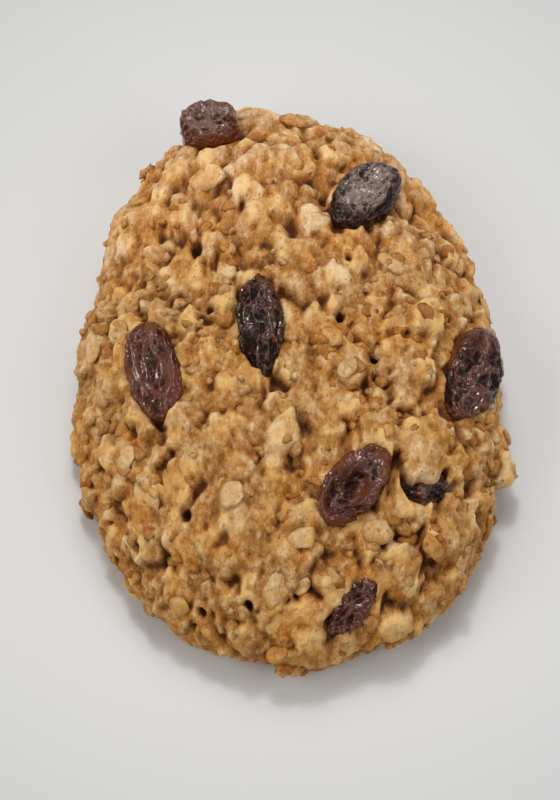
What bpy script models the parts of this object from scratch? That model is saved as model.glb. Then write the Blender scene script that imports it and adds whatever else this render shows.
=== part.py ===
"""An oatmeal raisin cookie: one lumpy body of baked dough with eight raisins set into its crust.

Metres, +Z up. The cookie rests on z = 0 with its footprint centred on the origin. Its narrow end
points to +Y and its broad end to -Y. Each raisin is a solid of its own, in a pocket cut to fit it.
"""

import math
from collections import namedtuple

import bmesh
import bpy
import numpy as np
from mathutils import Matrix, Vector, noise

MM = 0.001

# Plan: an egg-shaped outline, made of a mean radius and waves round it.
MEAN_RADIUS = 37.0 * MM
OUTLINE_CENTRE = Vector((0.1, -3.6, 0.0)) * MM
Wave = namedtuple("Wave", "count height bearing")
WAVES = (
    Wave(1, 1.6 * MM, 95),
    Wave(2, 7.5 * MM, 94),
    Wave(3, 1.2 * MM, 96),
    Wave(4, 0.9 * MM, 7),
    Wave(5, 0.5 * MM, 28),
)

# Section: a domed top, the widest level (the girth) near the base, and a slight undercut below it.
DOME_HEIGHT = 12.3 * MM
GIRTH_LEVEL = 5.0 * MM
UNDERCUT_SHARE = 0.11
EDGE_POWER = 3.2
CROWN_POWER = 1.8
STEEPEST_SHARE = 0.98
PROFILE_STEPS = 400

# Lumps: rounded clusters of oats with creases between them, on two scales.
DOUGH_DETAIL = 5
LUMP_SIZE = 8.5 * MM
LUMP_HEIGHT = 3.2 * MM
NODULE_SIZE = 5.0 * MM
NODULE_HEIGHT = 1.4 * MM
LUMP_MEAN = 0.55
LUMP_ORIGIN = Vector((3.7, 1.9, 5.2))

# Single features that stand out of the crust or sink into it.
Feature = namedtuple("Feature", "place reach height")
FEATURES = (
    Feature(Vector((18.3, -16.5, 15.5)) * MM, 3.8 * MM, 1.6 * MM),
    Feature(Vector((30.5, -14.0, 6.0)) * MM, 3.6 * MM, 1.4 * MM),
    Feature(Vector((30.0, -20.0, 6.0)) * MM, 2.8 * MM, -1.6 * MM),
)

# Raisins: dried, flattened and wrinkled along their length.
RAISIN_SEGMENTS = 20
RAISIN_RINGS = 12
RAISIN_GAP = 0.3 * MM
RAISIN_WRINKLES = 5
RAISIN_WRINKLE_DEPTH = 0.07
RAISIN_WRINKLE_TWIST = 1.1
RAISIN_DENT_DEPTH = 0.22
RAISIN_DENT_REACH = 0.45
Raisin = namedtuple("Raisin", "name centre heading length width thickness tip_power")
RAISINS = (
    Raisin("raisin_back_left", Vector((-11.8, 38.0, 13.4)) * MM, 10, 8.8 * MM, 7.8 * MM, 6.2 * MM, 0.7),
    Raisin("raisin_back_right", Vector((11.2, 24.1, 16.2)) * MM, 52, 12.8 * MM, 8.6 * MM, 5.6 * MM, 1.0),
    Raisin("raisin_middle", Vector((-3.9, 1.8, 17.2)) * MM, 94, 15.8 * MM, 6.9 * MM, 5.2 * MM, 1.3),
    Raisin("raisin_left", Vector((-19.0, -5.4, 15.9)) * MM, 105, 17.5 * MM, 8.2 * MM, 5.8 * MM, 1.0),
    Raisin("raisin_right", Vector((26.0, -3.6, 13.0)) * MM, 80, 17.4 * MM, 8.8 * MM, 6.4 * MM, 1.0),
    Raisin("raisin_front", Vector((8.7, -23.2, 16.2)) * MM, 48, 13.4 * MM, 8.2 * MM, 5.6 * MM, 0.9),
    Raisin("raisin_buried", Vector((19.5, -21.9, 14.6)) * MM, 5, 9.6 * MM, 6.4 * MM, 4.6 * MM, 1.0),
    Raisin("raisin_front_side", Vector((8.4, -40.8, 11.2)) * MM, 50, 11.0 * MM, 6.0 * MM, 4.6 * MM, 1.1),
)

DOUGH_COLOUR = (0.392, 0.195, 0.065, 1.0)
DOUGH_ROUGHNESS = 0.85
RAISIN_COLOUR = (0.076, 0.030, 0.019, 1.0)
RAISIN_ROUGHNESS = 0.35


def clear_scene():
    for old in list(bpy.data.objects):
        bpy.data.objects.remove(old, do_unlink=True)


def make_material(name, colour, roughness):
    material = bpy.data.materials.new(name)
    material.use_nodes = True
    shader = material.node_tree.nodes["Principled BSDF"]
    shader.inputs["Base Color"].default_value = colour
    shader.inputs["Roughness"].default_value = roughness
    shader.inputs["Metallic"].default_value = 0.0
    return material


def add_object(name, mesh_builder, material):
    """A smooth-shaded object whose mesh the builder, a bmesh, is written into and freed."""
    mesh = bpy.data.meshes.new(name)
    mesh_builder.to_mesh(mesh)
    mesh_builder.free()
    mesh.materials.append(material)
    mesh.shade_smooth()
    added = bpy.data.objects.new(name, mesh)
    bpy.context.scene.collection.objects.link(added)
    return added


def outline_radius(bearing):
    """The distance from the outline's centre to the cookie's edge, at a bearing in radians."""
    waves = (w.height * math.cos(w.count * (bearing - math.radians(w.bearing))) for w in WAVES)
    return MEAN_RADIUS + sum(waves)


def section():
    """Half of the cross-section, from the crown to the middle of the base, in even steps.

    The dome is a superellipse, the undercut below the girth is a quarter of an ellipse, and the
    base is flat. Returns how far along each step is (0 to 1), its share of the outline's radius
    and its level.
    """
    turn = np.linspace(0.0, math.pi / 2, PROFILE_STEPS)
    dome_share = np.sin(turn) ** (2 / EDGE_POWER)
    dome_level = GIRTH_LEVEL + DOME_HEIGHT * np.cos(turn) ** (2 / CROWN_POWER)
    under_share = 1 - UNDERCUT_SHARE * (1 - np.cos(turn))
    under_level = GIRTH_LEVEL * (1 - np.sin(turn))
    base_share = np.linspace(1 - UNDERCUT_SHARE, 0.0, PROFILE_STEPS)
    share = np.concatenate([dome_share, under_share[1:], base_share[1:]])
    level = np.concatenate([dome_level, under_level[1:], 0 * base_share[1:]])
    walked = np.hypot(np.diff(share) * MEAN_RADIUS, np.diff(level)).cumsum()
    return np.concatenate([[0.0], walked / walked[-1]]), share, level


def lumps(point, size, height):
    """Height over the mean crust of a field of rounded lumps with creases between them."""
    nearest = noise.voronoi(point / size + LUMP_ORIGIN)[0][0]
    return height * (LUMP_MEAN - nearest)


def relief(point):
    """How far the crust stands out of the smooth form at a point, fading to nothing at the base."""
    rise = lumps(point, LUMP_SIZE, LUMP_HEIGHT) + lumps(point, NODULE_SIZE, NODULE_HEIGHT)
    for feature in FEATURES:
        distance = (point - feature.place).length / feature.reach
        rise += feature.height * math.exp(-(distance**2))
    return rise * min(1.0, max(0.0, point.z / GIRTH_LEVEL))


def make_dough(material):
    """An even sphere pushed onto the outline and the section, then raised along its normals."""
    along, share, level = section()
    form = bmesh.new()
    bmesh.ops.create_icosphere(form, subdivisions=DOUGH_DETAIL, radius=1.0)
    for vert in form.verts:
        bearing = math.atan2(vert.co.y, vert.co.x)
        step = math.acos(max(-1.0, min(1.0, vert.co.z))) / math.pi
        reach = outline_radius(bearing) * float(np.interp(step, along, share))
        across = Vector((math.cos(bearing) * reach, math.sin(bearing) * reach, 0.0))
        vert.co = OUTLINE_CENTRE + across
        vert.co.z = float(np.interp(step, along, level))
    form.normal_update()
    raised = [vert.co + vert.normal * relief(vert.co) for vert in form.verts]
    for vert, place in zip(form.verts, raised):
        vert.co = place
    return add_object("dough", form, material)


def crust_normal(place):
    """The way the smooth dome faces at a place: straight up, leant outwards by the dome's fall."""
    across = Vector((place.x - OUTLINE_CENTRE.x, place.y - OUTLINE_CENTRE.y, 0.0))
    reach = outline_radius(math.atan2(across.y, across.x))
    share = min(STEEPEST_SHARE, across.length / reach)
    fall = DOME_HEIGHT / reach * EDGE_POWER / CROWN_POWER * share ** (EDGE_POWER - 1)
    fall *= (1 - share**EDGE_POWER) ** (1 / CROWN_POWER - 1)
    return (Vector((0.0, 0.0, 1.0)) + across.normalized() * fall).normalized()


def raisin_frame(raisin):
    """The matrix that lays a raisin along its heading, with its flat side against the crust."""
    up = crust_normal(raisin.centre)
    heading = math.radians(raisin.heading)
    ahead = Vector((math.cos(heading), math.sin(heading), 0.0))
    ahead = (ahead - up * ahead.dot(up)).normalized()
    side = up.cross(ahead)
    turned = Matrix((ahead, side, up)).transposed().to_4x4()
    return Matrix.Translation(raisin.centre) @ turned


def raisin_form(raisin, grown):
    """A flattened spindle with ridges along it and a dent in its top, grown all round by a gap."""
    frame = raisin_frame(raisin)
    form = bmesh.new()
    bmesh.ops.create_uvsphere(form, u_segments=RAISIN_SEGMENTS, v_segments=RAISIN_RINGS, radius=1.0)
    for vert in form.verts:
        along = vert.co.z
        around = math.atan2(vert.co.y, vert.co.x)
        girth = max(0.0, 1 - along**2) ** (raisin.tip_power / 2)
        ridge = math.cos(RAISIN_WRINKLES * around + RAISIN_WRINKLE_TWIST * along + raisin.heading)
        girth *= 1 + RAISIN_WRINKLE_DEPTH * ridge
        x = along * (raisin.length / 2 + grown)
        y = math.cos(around) * girth * (raisin.width / 2 + grown)
        z = math.sin(around) * girth * (raisin.thickness / 2 + grown)
        inward = math.hypot(along, math.cos(around) * girth) / RAISIN_DENT_REACH
        if z > 0:
            z *= 1 - RAISIN_DENT_DEPTH * math.exp(-(inward**2))
        vert.co = frame @ Vector((x, y, z))
    return form


def make_raisin(raisin, material):
    return add_object(raisin.name, raisin_form(raisin, 0.0), material)


def cut_pocket(dough, raisin, material):
    """Cuts the raisin's pocket out of the dough, wider than the raisin by the gap all round."""
    cutter = add_object(raisin.name + "_pocket", raisin_form(raisin, RAISIN_GAP), material)
    cutter.hide_render = True
    cutter.display_type = "WIRE"
    pocket = dough.modifiers.new(cutter.name, "BOOLEAN")
    pocket.operation = "DIFFERENCE"
    pocket.solver = "EXACT"
    pocket.object = cutter


def build():
    clear_scene()
    dough_material = make_material("baked_dough", DOUGH_COLOUR, DOUGH_ROUGHNESS)
    raisin_material = make_material("raisin_skin", RAISIN_COLOUR, RAISIN_ROUGHNESS)
    dough = make_dough(dough_material)
    for raisin in RAISINS:
        make_raisin(raisin, raisin_material)
        cut_pocket(dough, raisin, dough_material)


build()
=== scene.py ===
"""An oatmeal raisin cookie: its lumpy crust, rolled oats, crumbs and wrinkled raisins.

The solids of the frame give the size and every raisin's place. The crust is one closed surface,
raised along the normals of a smooth dome by packed nuggets of dough, lumps and flakes of oat, and
the raisins lie in hollows that are pressed into it. Lengths are in metres, +Z is up and the
cookie rests on z = 0.
"""

import math
from collections import namedtuple
from itertools import product

import bpy
import numpy as np
from bpy.props import FloatProperty, FloatVectorProperty, IntProperty, PointerProperty
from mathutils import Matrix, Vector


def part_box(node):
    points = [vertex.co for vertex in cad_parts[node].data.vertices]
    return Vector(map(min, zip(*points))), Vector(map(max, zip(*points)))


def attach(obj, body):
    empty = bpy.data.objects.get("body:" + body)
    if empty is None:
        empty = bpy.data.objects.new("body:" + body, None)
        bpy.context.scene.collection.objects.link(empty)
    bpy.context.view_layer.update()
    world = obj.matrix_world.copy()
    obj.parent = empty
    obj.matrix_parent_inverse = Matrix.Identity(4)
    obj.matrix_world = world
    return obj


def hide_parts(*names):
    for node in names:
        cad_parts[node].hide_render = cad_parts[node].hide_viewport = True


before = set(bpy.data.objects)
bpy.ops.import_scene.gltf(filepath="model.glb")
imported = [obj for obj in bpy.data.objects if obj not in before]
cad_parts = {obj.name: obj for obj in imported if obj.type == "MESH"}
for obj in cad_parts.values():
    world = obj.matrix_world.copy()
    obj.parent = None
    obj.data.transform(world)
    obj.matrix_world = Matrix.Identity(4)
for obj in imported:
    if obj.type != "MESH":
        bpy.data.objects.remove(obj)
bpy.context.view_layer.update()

bl_info = {
    "name": "Oatmeal Raisin Cookie",
    "version": (1, 0, 0),
    "blender": (4, 5, 0),
    "location": "View3D > Sidebar > Cookie",
    "description": "Builds a lumpy oatmeal cookie with raisins, oat flakes and crumbs",
    "category": "Object",
}

MM = 0.001
BODY = "root"
DOUGH_SLOT = "baked_dough"
RAISIN_SLOT = "raisin_skin"
DOUGH_LOW, DOUGH_HIGH = (np.array(corner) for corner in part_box("dough"))

# Plan of the dough: waves round an oval, as (count, share of the mean radius, bearing of a crest).
Wave = namedtuple("Wave", "count share bearing")
WAVES = (
    Wave(1, 0.039, 88), Wave(2, 0.188, 93), Wave(3, 0.032, 98), Wave(4, 0.011, 18),
    Wave(5, 0.013, 30),
)

# Section of the dough: a superellipse dome on a girth, with an undercut down to the base. It is
# inset from the solid's box by what its lumps will add.
GIRTH_SHARE = 0.27
CREST_INSET = 1.3 * MM
INSET_LOW = np.array([2.0, 1.7]) * MM
INSET_HIGH = np.array([1.8, 1.0]) * MM
UNDERCUT_SHARE = 0.11
EDGE_POWER = 3.2
CROWN_POWER = 1.8
SECTION_STEPS = 400

# The crust's grid, with a margin that loose pieces keep off and the size of its smallest cells, and
# the underside's, which has half as many cells so that they join two to one. The underside's rim
# lies a little inside the crust's.
CRUST_CELLS = 276
CRUST_MARGIN = 12
BASE_CELLS = CRUST_CELLS // 2
FINEST_CELL = 0.24 * MM
BASE_RING = 0.985
OUTLINE_POINTS = 721

# The crust is a little longer than wide in all it does: its lumps, and its grains even more so.
STRETCH = np.array([1.0, 1.4, 1.2])
GRAIN_STRETCH = np.array([1.0, 1.5, 1.25])
GRAIN_SWAY = 0.45 * MM

# Packed nuggets of dough: their size, how high they stand and over what width they round off, how
# deep and wide the creases between them are, and how far some stand over others or tilt, in mm,
# and where in the pattern they start.
Nuggets = namedtuple("Nuggets", "size bulge round crease width step tilt shift")
NUGGETS = (
    Nuggets(9.5, 1.1, 2.0, 0.40, 0.6, 1.05, 1.2, 5.7),
    Nuggets(5.4, 1.00, 1.1, 0.38, 0.6, 0.70, 0.9, 2.3),
    Nuggets(2.7, 0.22, 0.35, 0.07, 0.3, 0.16, 0.3, 17.9),
    Nuggets(1.3, 0.12, 0.2, 0.05, 0.3, 0.10, 0.2, 41.2),
)

# Packed nuggets are domed, and their outlines sway by shares of their size. Their creases deepen
# and fade over patches, between two levels of smooth noise, and the walls' nuggets are flatter.
NUGGET_DOME = 0.3
NUGGET_MEAN = 0.45
NUGGET_SWAY_SIZE = 0.55
NUGGET_SWAY = 0.35
CREASE_PATCH = 1.1
CREASE_LEVELS = (0.25, 0.7)
CREASE_LEAST = 0.25
CREASE_MORE = 0.95
WALL_CALM = 0.35
WALL_REACH = (0.68, 0.85)

# A layer of lumps: how far apart they lie, their half length, how slim they are, how far their foot
# lies over the crust, how high they stand, how square their top is, how far they tilt, and how
# much they look like bare oat. Lengths are in mm, and so is the width of the crust laid flat.
Layer = namedtuple("Layer", "spacing half slimness lift rise power tilt oat")
FLAKE_LAYER = Layer(5.2, (1.4, 2.5), (0.55, 0.85), (-0.3, 0.1), (0.3, 0.55), 5.0, 0.15, 1.0)
NUB_LAYER = Layer(1.7, (0.38, 0.8), (0.6, 1.0), (-0.2, 0.05), (0.2, 0.4), 2.4, 0.15, 0.0)
GRID_WIDTH = 90.0

# One lump, how full its dome is, and how far round it the crust is looked at, in half lengths.
Lump = namedtuple("Lump", "heading half slimness lift rise power tilt tint oat")
CAP_POWER = 0.65
LUMP_ROOM = 1.25

# The whole crust swells, and the outlines of its lumps sway: over what size and how far.
CRUST_SWELL = (15 * MM, 2.2 * MM)
LUMP_SWAY = (2.0 * MM, 1.1 * MM)

# Single lumps that are larger or stand further out than the others: place, then as a lump, in mm.
# The cover lies over a raisin and leaves it to show below.
COVERED = "raisin_buried"
COVER = ((18.6, -19.0, 16.3), Lump(1.57, 3.5, 0.92, 0.4, 2.0, 2.4, 0.0, 0.8, 0.0))
LANDMARKS = (
    ((30.5, -14.0, 6.0), Lump(1.5, 3.0, 0.8, 0.6, 1.3, 2.6, 0.0, 0.6, 0.2)),
    ((-1.3, -16.5, 17.3), Lump(0.4, 2.7, 0.78, 0.6, 1.1, 5.0, 0.1, 1.0, 0.6)),
)

# Single bare flakes: place, heading, half length and half width, in mm. They lean a little.
FLAKE_LEAN = 0.08
FLAKES = (
    ((27.0, 18.0, 10.0), 0.6, 2.6, 1.8), ((-11.7, 26.6, 14.6), 0.1, 3.1, 2.2),
    ((-19.4, -24.0, 13.0), 1.75, 3.9, 2.0), ((-1.7, -37.8, 13.5), 1.5, 3.0, 1.7),
    ((3.7, 18.6, 16.3), 0.4, 2.2, 1.9), ((-27.5, 2.0, 10.0), 1.5, 3.0, 1.7),
    ((-7.5, -25.0, 16.5), 1.3, 2.6, 1.9), ((14.5, 12.0, 16.5), 2.4, 2.3, 1.7),
    ((-22.5, -18.0, 13.5), 1.2, 2.7, 1.8), ((2.0, -31.0, 15.5), 0.5, 2.5, 1.8),
    ((24.5, -31.0, 8.5), 1.2, 2.6, 1.7), ((-9.0, 10.0, 16.8), 0.9, 2.2, 1.6),
)

# Deep pits: place and half width, in mm. Then how deep they are, where their walls lie and how far
# round them the crust is looked at in half widths, how much they sway, and how much painted shade
# darkens them.
PITS = (
    ((-12.8, 15.0, 16.0), 0.75), ((-11.1, 3.7, 17.0), 0.6), ((8.3, 12.7, 16.7), 0.55),
    ((7.2, 3.0, 17.0), 0.6), ((5.6, -0.4, 17.1), 0.5), ((16.5, -0.1, 16.2), 0.6),
    ((12.0, -3.2, 17.0), 0.5), ((-14.4, -26.5, 13.8), 0.6), ((-21.4, -30.4, 10.5), 0.6),
    ((-12.5, -39.9, 9.6), 0.7), ((-13.8, -41.0, 7.0), 0.5), ((-5.8, -39.9, 12.0), 0.6),
    ((30.0, -20.0, 6.0), 1.3),
)
PIT_DEPTH = 2.8 * MM
PIT_WALL = (0.5, 1.1)
PIT_SWAY = 0.6
PIT_ROOM = 2
PIT_SHADE = 1.5

# The hollow that a raisin presses: how ragged its rim is, how far down the raisin its floor lies,
# and where its wall and the painted shade round it end, as shares of the raisin. The crust must face
# the way the raisin does, by a cosine, and lie near it, within a number of its half lengths.
RIM_SIZE = 2.2 * MM
RIM_RAGGED = 0.35
SEAT_SHARE = 0.35
HOLLOW_WALL = (0.86, 0.99)
HOLLOW_SHADE = (1.0, 1.22)
RAISIN_FACING = 0.2
RAISIN_NEAR = 2
FAR_OFF = 9.0

# Where the lump that covers a raisin ends, and the band round it that shows the raisin.
COVER_EDGE = (0.93, 1.0)
COVER_BAND = (1.12, 1.2)

# Passes of blurring: for the ground that single lumps stand on, for the crust's broad form, for its
# near surroundings, and for the way it faces under loose pieces.
GROUND_BLUR = 30
BROAD_BLUR = 40
NEAR_BLUR = 5
FACING_BLUR = 8

# How far under its broad form and under its near surroundings the crust counts as sunk in full, and
# how much of the creases between nuggets is kept. The material paints shade where it is sunk.
CAVITY_DEPTH = 1.3 * MM
CREASE_DEPTH = 0.4 * MM
CREASE_KEPT = 0.6

# The crust comes down to its smooth form over the last part of its reach. Then the size of its fine
# roughness, whose height is a setting.
FOOT = (0.93, 1.0)
GRAIN_SIZE = 1.0 * MM

# The underside: the size and height of its roughness and of its winding grooves, how sharp these
# are, where it levels out towards its rim, how far it lies over the floor, and its fields.
BASE_ROUGH = (5 * MM, 1.2 * MM)
BASE_GROOVES = (6 * MM, 0.5 * MM)
GROOVE_POWER = 6
BASE_LEVEL = (0.9, 1.0)
BASE_LIFT = 0.02 * MM
UNDERSIDE_FIELDS = {"tint": 0.2, "cavity": 0.35, "crease": 0.0, "oat": 0.0}

# Loose pebbles set into the crust: cells across their grid, how square their section is, how many
# flat chips they have, half length, slimness, half thickness, lean, how deep they sink, the size
# and strength of their lobes, their bend, and how far they keep from raisins. Lengths are in mm.
Loose = namedtuple(
    "Loose", "cells squareness chips half slim thick lean sink lobe_size lobes bend room"
)
LOOSE = {
    "dough_nuggets": Loose(
        6, 2.4, 6, (0.9, 1.9), (0.6, 0.95), (0.45, 0.9), (-0.4, 0.4), 0.35, 1.3, 0.65, 0.5, 1.3),
    "oat_flakes": Loose(
        12, 3, 4, (1.3, 2.5), (0.55, 0.85), (0.45, 0.65), (-0.25, 0.25), 0.05, 2.2, 0.3, 0.8, 1.3),
    "crumbs": Loose(
        4, 2, 5, (0.6, 1.2), (0.6, 1.0), (0.35, 0.7), (-0.5, 0.5), 0.0, 0.9, 0.9, 0.2, 1.1),
}

# A loose piece's chips lie between these distances from its middle, as shares of its half sizes. Its
# middle counts as sunk by a share, and less so towards its top, a skin's thickness over its own, so
# its lower side is painted darker and its top lighter: painted shade and light. Then the tint of the
# single flakes, and how much every loose flake looks like bare oat.
CHIP_DISTANCES = (0.5, 0.85)
LOOSE_CAVITY = 0.25
LOOSE_LIGHTENING = 0.55
LOOSE_SKIN = 0.2 * MM
FIXED_TINT = 0.9
OAT_SHARE = 0.55

# Browning and painted shade: a step and then an even rise towards the broad end, which paint the
# front darker as shade and leave the back paler where it faces the key light, and a rise low on the
# walls, their bake. Each is between two levels and then of an amount.
BROWN_AND_SHADE_STEP = (30 * MM, 4 * MM, 0.4)
BROWN_AND_SHADE_RISE = (15 * MM, -45 * MM, 0.14)
BROWN_FOOT = (12 * MM, 2 * MM, 0.1)

# Half a side of the floor's square, and the ring over which its painted pool of light round the
# cookie dims to its outer brightness.
FLOOR_HALF = 3.0
FLOOR_FADE = (42 * MM, 85 * MM)
FLOOR_DIM = 0.82

# Lights: where they stand, their size and their tint. The power of each is a setting of its name.
LIGHTS = {
    "key": ((0.02, 0.78, 1.30), 1.0, (1.0, 0.99, 0.97)),
    "left": ((-1.2, -0.45, 0.85), 1.5, (1.0, 0.97, 0.92)),
    "right": ((1.2, -0.45, 0.85), 1.4, (1.0, 0.98, 0.95)),
    "sparkle": ((-0.05, 0.36, 0.76), 0.15, (1.0, 1.0, 1.0)),
}

# What the camera looks at, and how far it then moves across its view.
AIM = (0.2 * MM, -3.2 * MM, 7.0 * MM)
ASIDE = (-1.43 * MM, -1.43 * MM, 0)

# A heading is given up where it lies closer than this to a normal, as a cosine.
STEEP = 0.9

# Noise: random heights and seeds on a lattice that repeats. Each octave starts elsewhere, and a
# packed cell's weight is a least one and a random part.
OCTAVE_SHIFT = 7.3
CELL_WEIGHT = 0.8
CELL_SPREAD = 0.5
LATTICE_SIDE = 64
LATTICE = np.random.default_rng(11).random((LATTICE_SIDE,) * 3)
SEEDS = np.random.default_rng(12).random((LATTICE_SIDE,) * 3 + (8,))


# ---- settings

def colour(name, description, default):
    return FloatVectorProperty(
        name=name, description=description, default=default, size=3, min=0, max=1, subtype="COLOR"
    )


def length(name, description, default):
    return FloatProperty(
        name=name, description=description, default=default, subtype="DISTANCE", unit="LENGTH"
    )


def watts(name, description, default):
    return FloatProperty(name=name, description=description + ", in watts", default=default, min=0)


class DoughSettings(bpy.types.PropertyGroup):
    seed: IntProperty(name="Seed", description="Which lumps the crust gets", default=5)
    relief: FloatProperty(name="Relief", description="How strongly lumps stand out", default=1.0)
    grain: length("Grain", "Height of the fine roughness of the crust", 0.27 * MM)
    # Brown, tan, pale and cream follow a level of light that is partly random tone and partly painted
    # light on tops and painted shade low between lumps.
    pale: colour("Pale dough", "Dry dough on the tops of lumps", (0.8, 0.575, 0.352))
    cream_and_highlight: colour("Cream", "Palest tops of the crumb", (0.88, 0.675, 0.47))
    tan: colour("Tan dough", "Baked dough on the slopes of lumps", (0.5, 0.235, 0.066))
    brown: colour("Brown dough", "Baked dough low between lumps", (0.27, 0.095, 0.015))
    toasted: colour("Toasted dough", "What the golden patches are tinted by", (1.0, 0.86, 0.57))
    # Crevice: painted shade deep between lumps and in pores.
    crevice_shade: colour("Crevice", "Dough deep between lumps", (0.075, 0.021, 0.005))
    speck: colour("Bran speck", "Dark specks in the dough", (0.09, 0.035, 0.012))
    # The dull tint lies on the least toasted patches, and in hollows partly as painted shade.
    dull: colour("Dull dough", "What the least toasted dough is tinted by", (0.92, 0.95, 1.0))
    # Browning and painted shade: darker towards the broad end, as painted shade, and low on the walls, as
    # their bake.
    browning_and_shade: colour("Browning", "What the broad end and the walls are tinted by", (0.665, 0.595, 0.3))


class OatSettings(bpy.types.PropertyGroup):
    seed: IntProperty(name="Seed", description="Where loose oats and crumbs lie", default=3)
    nuggets: IntProperty(name="Nuggets", description="Number of nuggets of dough", default=420)
    flakes: IntProperty(name="Flakes", description="Number of bare oat flakes", default=40)
    crumbs: IntProperty(name="Crumbs", description="Number of crumbs", default=120)


class RaisinSettings(bpy.types.PropertyGroup):
    # Dark skin is the raisin's own near-black, and in its folds also painted shade.
    dark: colour("Dark skin", "Near-black raisin skin", (0.012, 0.0035, 0.002))
    red: colour("Red skin", "Red-brown raisin skin", (0.120, 0.021, 0.003))
    # Bloom is dusty sugar and also a painted sheen and glints, on ridges and on what faces up.
    bloom: colour("Bloom", "Dusty sugar bloom on ridges", (0.23, 0.165, 0.135))
    gloss: FloatProperty(
        name="Roughness", description="Roughness of the skin", default=0.20, min=0, max=1,
        subtype="FACTOR",
    )


class StageSettings(bpy.types.PropertyGroup):
    elevation: FloatProperty(
        name="Elevation", description="Camera height over the horizon", default=math.radians(61),
        subtype="ANGLE",
    )
    distance: length("Distance", "Camera distance", 0.42)
    lens: FloatProperty(name="Lens", description="Focal length in millimetres", default=132.3)
    floor: colour("Floor", "Plain pale floor", (0.668, 0.672, 0.676))
    key: watts("Key light", "Power of the overhead light", 8.0)
    left: watts("Left light", "Power of the light at the left", 11.2)
    right: watts("Right light", "Power of the light at the right", 7.0)
    sparkle: watts("Sparkle", "Power of the small light", 1.8)
    fill: FloatProperty(name="Fill", description="Strength of the light from all round", default=0.28)


# ---- numbers

def value_noise(points, size, shift=0.0):
    """Smooth noise from 0 to 1: random heights at the corners of cubes, eased between the corners."""
    cell = points / size + shift
    corner = np.floor(cell).astype(int)
    part = smooth_step(0, 1, cell - corner)
    total = np.zeros(points.shape[:-1])
    for step in product((0, 1), repeat=3):
        weight = np.prod(np.where(step, part, 1 - part), axis=-1)
        index = (corner + step) % LATTICE_SIDE
        total += weight * LATTICE[index[..., 0], index[..., 1], index[..., 2]]
    return total


def fractal_noise(points, size, octaves, shift=0.0):
    """Octaves of smooth noise, each half the size and height of the one before, centred on 0."""
    total = np.zeros(points.shape[:-1])
    for octave in range(octaves):
        half = 0.5**octave
        total += half * (value_noise(points, size * half, shift + OCTAVE_SHIFT * octave) - 0.5)
    return total


def swaying(points, size, octaves, shifts):
    """Fractal noise in three parts, one for each axis."""
    return np.stack([fractal_noise(points, size, octaves, shift) for shift in shifts], axis=-1)


def packed_cells(points, size, shift=0.0):
    """Random cells packed side by side, larger and smaller ones mixed.

    Each cube of a lattice holds one seed, and a point belongs to the seed whose distance, times
    the seed's own weight, is the least. Returns that distance and how much further the next seed
    is, both in cell sizes, how far the point lies along the cell's own slope, and a random number
    for each cell.
    """
    place = points / size + shift
    corner = np.floor(place).astype(int)
    first = np.full(points.shape[:-1], np.inf)
    second, along, kind = first.copy(), np.zeros(first.shape), np.zeros(first.shape)
    for step in product((-1, 0, 1), repeat=3):
        cell = corner + step
        index = cell % LATTICE_SIDE
        seed = SEEDS[index[..., 0], index[..., 1], index[..., 2]]
        offset = place - cell - seed[..., :3]
        gap = np.linalg.norm(offset, axis=-1) * (CELL_WEIGHT + CELL_SPREAD * seed[..., 3])
        closer = gap < first
        second = np.where(closer, first, np.minimum(second, gap))
        kind = np.where(closer, seed[..., 4], kind)
        slope = np.sum(offset * (seed[..., [5, 6, 7]] * 2 - 1), axis=-1)
        along = np.where(closer, slope, along)
        first = np.where(closer, gap, first)
    return first, second - first, along, kind


def creases(points, size, sharpness, shift=0.0):
    """Thin winding lines, 1 along them and 0 between: where smooth noise passes through its mean."""
    ridge = 1 - np.abs(2 * value_noise(points, size, shift) - 1)
    return np.clip(ridge, 0, 1) ** sharpness


def blurred(field, passes):
    """The field after passes of a 1-2-1 average, its borders repeated.

    Each pass averages along one axis and then turns the grid over, so that the next one takes
    the other axis.
    """
    for _ in range(2 * passes):
        padded = np.pad(field, ((1, 1), (0, 0)), mode="edge")
        field = ((padded[:-2] + 2 * field + padded[2:]) / 4).T
    return field


def smooth_step(low, high, values):
    """From 0 at low to 1 at high, eased: three times the square less twice the cube."""
    part = np.clip((values - low) / (high - low), 0, 1)
    return part * part * (3 - 2 * part)


def unit(vectors):
    """Vectors of length 1 in the same directions."""
    return vectors / np.maximum(np.linalg.norm(vectors, axis=-1, keepdims=True), 1e-12)


def tangents(normals, headings):
    """Two directions across each normal, the first following a heading in plan where it can."""
    level = np.zeros(np.shape(headings))
    ahead = np.stack([np.cos(headings), np.sin(headings), level], axis=-1)
    steep = np.abs(np.sum(ahead * normals, axis=-1, keepdims=True)) > STEEP
    ahead = np.where(steep, [0.0, 0.0, 1.0], ahead)
    ahead = unit(ahead - normals * np.sum(ahead * normals, axis=-1, keepdims=True))
    return ahead, np.cross(normals, ahead)


# ---- meshes

def disc_grid(cells):
    """A square grid pressed onto a disc: concentric squares become concentric circles.

    The reach of a point is the larger of its two distances from the middle of the square, and its
    bearing turns an eighth of a circle along each half side. Returns both, on rows and columns.
    """
    line = np.linspace(-1, 1, cells + 1)
    u, v = np.meshgrid(line, line)
    wide = np.abs(u) >= np.abs(v)
    safe_u = np.where(np.abs(u) < 1e-9, 1.0, u)
    safe_v = np.where(np.abs(v) < 1e-9, 1.0, v)
    flat = math.pi / 4 * v / safe_u + np.where(u < 0, math.pi, 0)
    steep = math.pi / 2 - math.pi / 4 * u / safe_v + np.where(v < 0, math.pi, 0)
    return np.maximum(np.abs(u), np.abs(v)), np.where(wide, flat, steep)


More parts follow.
